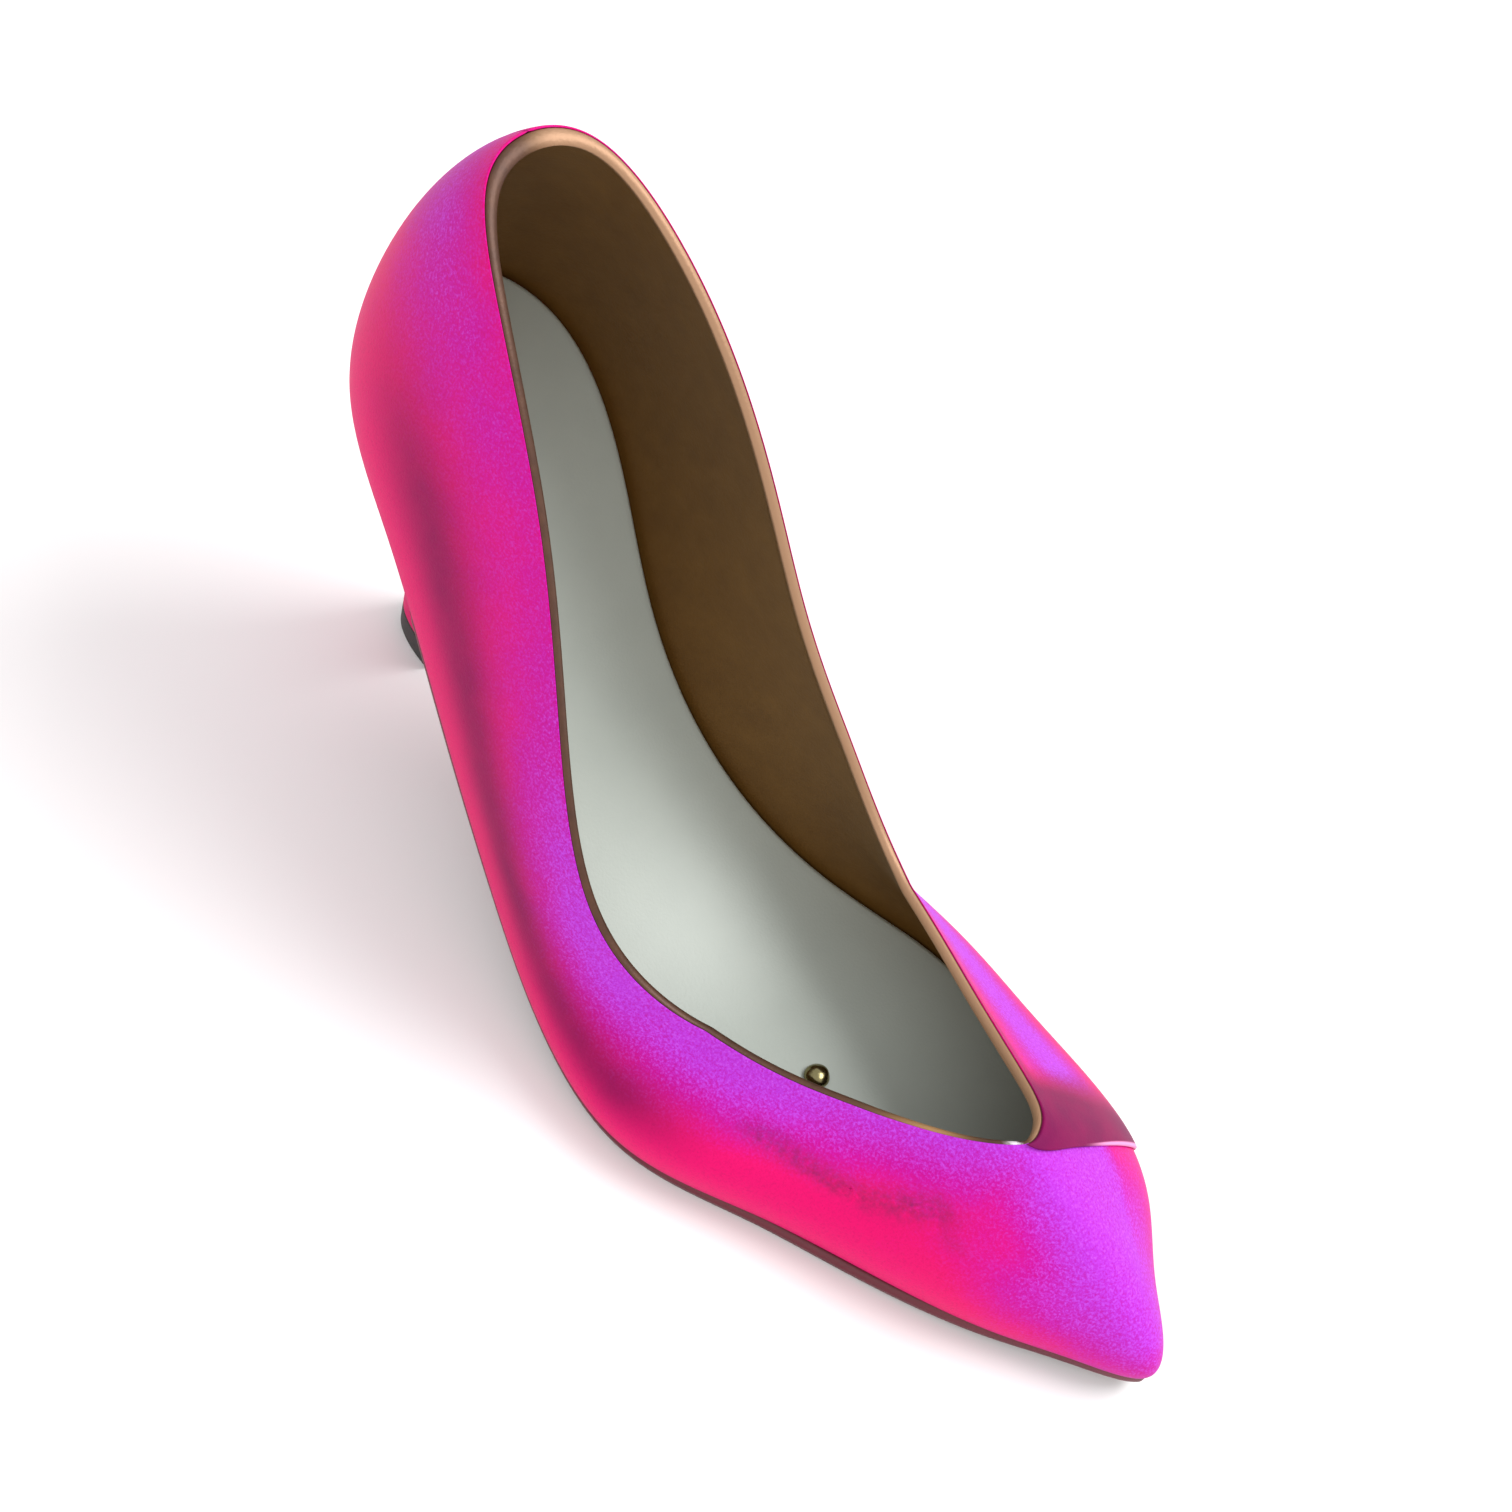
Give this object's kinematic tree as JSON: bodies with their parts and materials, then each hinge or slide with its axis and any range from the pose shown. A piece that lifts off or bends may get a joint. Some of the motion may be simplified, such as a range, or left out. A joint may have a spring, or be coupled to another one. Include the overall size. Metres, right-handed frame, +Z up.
{
  "type": "satin pump",
  "caption": "Right pointed-toe satin pump with a low V throat, a lapped far quarter, a pale insole and a slim covered heel.",
  "frame": {"origin": "middle of the shoe's plan, on the floor it stands on", "axes": "+X from the heel to the toe, +Z up, -Y the lateral side of this right shoe"},
  "size_m": [0.2262, 0.0816, 0.1365],
  "materials": {
    "upper_satin": "pink-violet satin over a bronze leather lining",
    "insole_leather": "smooth, pale",
    "sole_leather": "smooth, dark red edge",
    "heel_satin": "pink satin cover",
    "top_piece_rubber": "matt",
    "stud_bronze": "polished, dark"
  },
  "bodies": {
    "root": {"upper": "upper_satin", "insole": "insole_leather", "outsole": "sole_leather", "heel": "heel_satin", "top_piece": "top_piece_rubber", "stud": "stud_bronze"}
  },
  "joints": []
}
